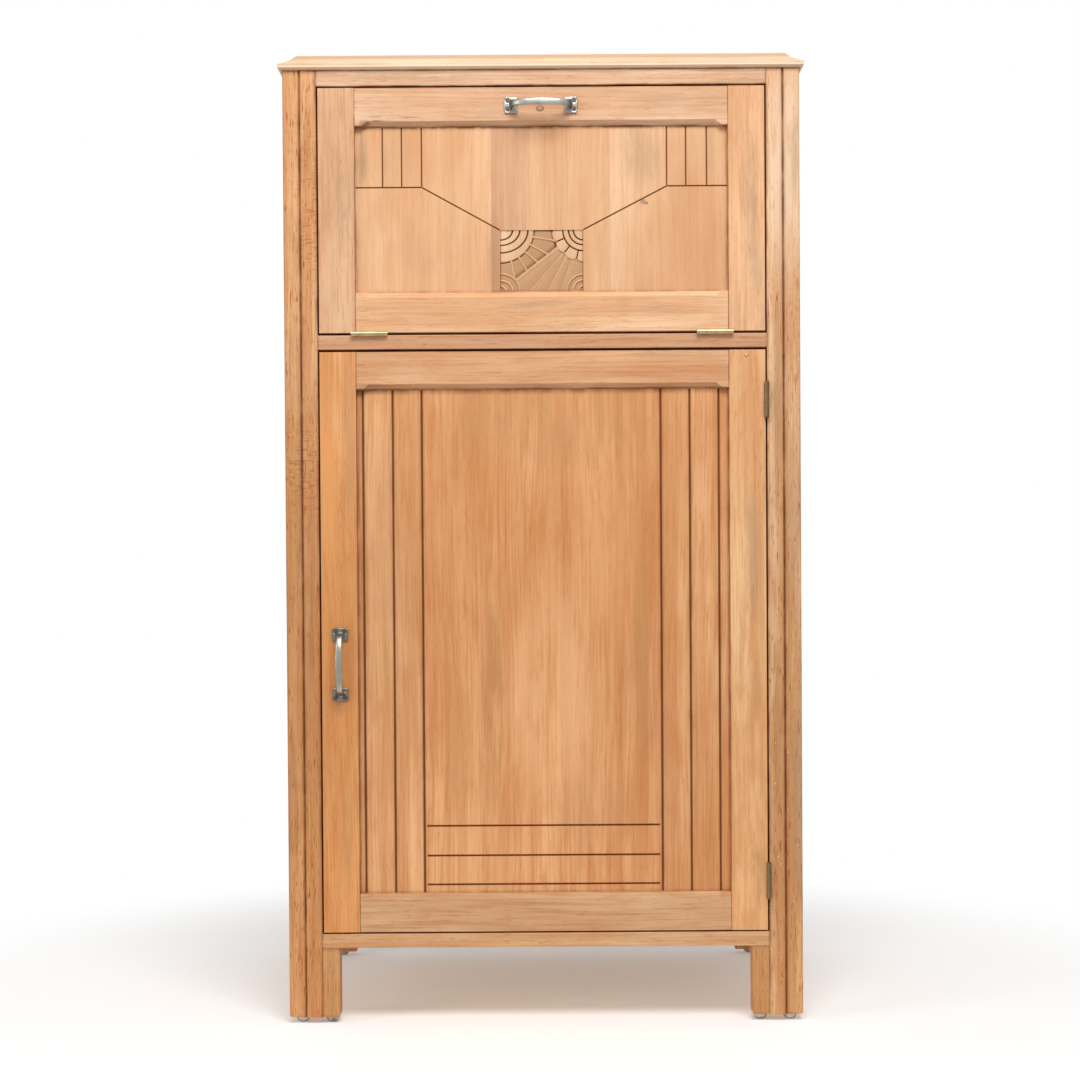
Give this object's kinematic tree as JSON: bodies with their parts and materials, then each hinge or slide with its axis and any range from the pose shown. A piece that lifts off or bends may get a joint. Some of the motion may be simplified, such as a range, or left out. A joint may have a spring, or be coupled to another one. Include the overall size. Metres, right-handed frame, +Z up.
{
  "type": "icebox",
  "caption": "Upright wooden icebox with a drop-front ice compartment, a tall insulated door below, bow pulls, moulded top and four legs.",
  "frame": {"origin": "on the floor, below the middle of the whole object's box", "axes": "+X to the right seen from the front, +Y to the back (the doors face -Y), +Z up"},
  "size_m": [0.631, 0.462, 1.168],
  "materials": {
    "case_wood": "matte",
    "door_wood": "matte",
    "inner_wood": "matte",
    "rack_wood": "matte",
    "tile_wood": "matte",
    "cork": "matte",
    "zinc": "satin",
    "tinned_wire": "satin",
    "glide_steel": "satin",
    "nickel": "satin",
    "brass": "satin",
    "rubber": "matte"
  },
  "bodies": {
    "cabinet": {"top_board": "case_wood", "front_post_left": "case_wood", "front_post_right": "case_wood", "rear_posts": "case_wood", "leg_blocks": "case_wood", "top_rail": "case_wood", "mid_rail": "case_wood", "bottom_rail": "case_wood", "side_rails": "case_wood", "side_panels": "inner_wood", "back_boards": "inner_wood", "back_rails": "inner_wood", "floor_board": "inner_wood", "divider_board": "inner_wood", "stop_strips": "inner_wood", "wall_cork": "cork", "level_cork": "cork", "ice_liner": "zinc", "food_liner": "zinc", "air_flue": "zinc", "ice_rack": "rack_wood", "drain_strainer": "zinc", "drain_pipe": "zinc", "wire_shelves": "tinned_wire", "shelf_runners": "inner_wood", "floor_glides": "glide_steel", "spring_catches": "brass", "stay_brackets": "brass", "cabinet_hinge_leaves": "brass", "hinge_pins": "brass", "cabinet_hinge_screws": "brass"},
    "drop_front": {"drop_front_stile_left": "door_wood", "drop_front_stile_right": "door_wood", "drop_front_top_rail": "door_wood", "drop_front_bottom_rail": "door_wood", "drop_front_panel": "door_wood", "carved_tile": "tile_wood", "drop_front_cork": "cork", "drop_front_tray": "zinc", "drop_front_gasket": "rubber", "drop_front_pull": "nickel", "drop_front_screws": "nickel", "drop_front_hinge_leaves": "brass", "drop_front_stay_studs": "brass"},
    "lower_door": {"lower_door_stile_left": "door_wood", "lower_door_stile_right": "door_wood", "lower_door_top_rail": "door_wood", "lower_door_bottom_rail": "door_wood", "lower_door_panel": "door_wood", "lower_door_dowel": "rack_wood", "lower_door_cork": "cork", "lower_door_tray": "zinc", "lower_door_gasket": "rubber", "lower_door_pull": "nickel", "lower_door_screws": "nickel", "lower_door_hinge_leaves": "brass"},
    "stay_rear_arms": {"stay_rear_arm_left": "brass", "stay_rear_arm_right": "brass"},
    "stay_front_arms": {"stay_front_arm_left": "brass", "stay_front_arm_right": "brass"}
  },
  "joints": [
    {"name": "drop_front_hinge", "type": "hinge", "parent": "cabinet", "child": "drop_front", "pos_m": [0, -0.2122, 0.8305], "axis": [1, 0, 0], "range_deg": [0, 90]},
    {"name": "lower_door_hinge", "type": "hinge", "parent": "cabinet", "child": "lower_door", "pos_m": [0.269, -0.2122, 0.4595], "axis": [0, 0, 1], "range_deg": [0, 170]},
    {"name": "stay_rear_pivot", "type": "hinge", "parent": "cabinet", "child": "stay_rear_arms", "pos_m": [0, -0.1522, 0.9405], "axis": [1, 0, 0], "range_deg": [0, 154.88]},
    {"name": "stay_front_pivot", "type": "hinge", "parent": "drop_front", "child": "stay_front_arms", "pos_m": [0, -0.1672, 0.9605], "axis": [1, 0, 0], "range_deg": [-100.84, 0]}
  ],
  "couplings": [
    {"joint": "stay_rear_pivot", "follows": "drop_front_hinge", "ratio": 1.7207},
    {"joint": "stay_front_pivot", "follows": "drop_front_hinge", "ratio": -1.1204}
  ]
}
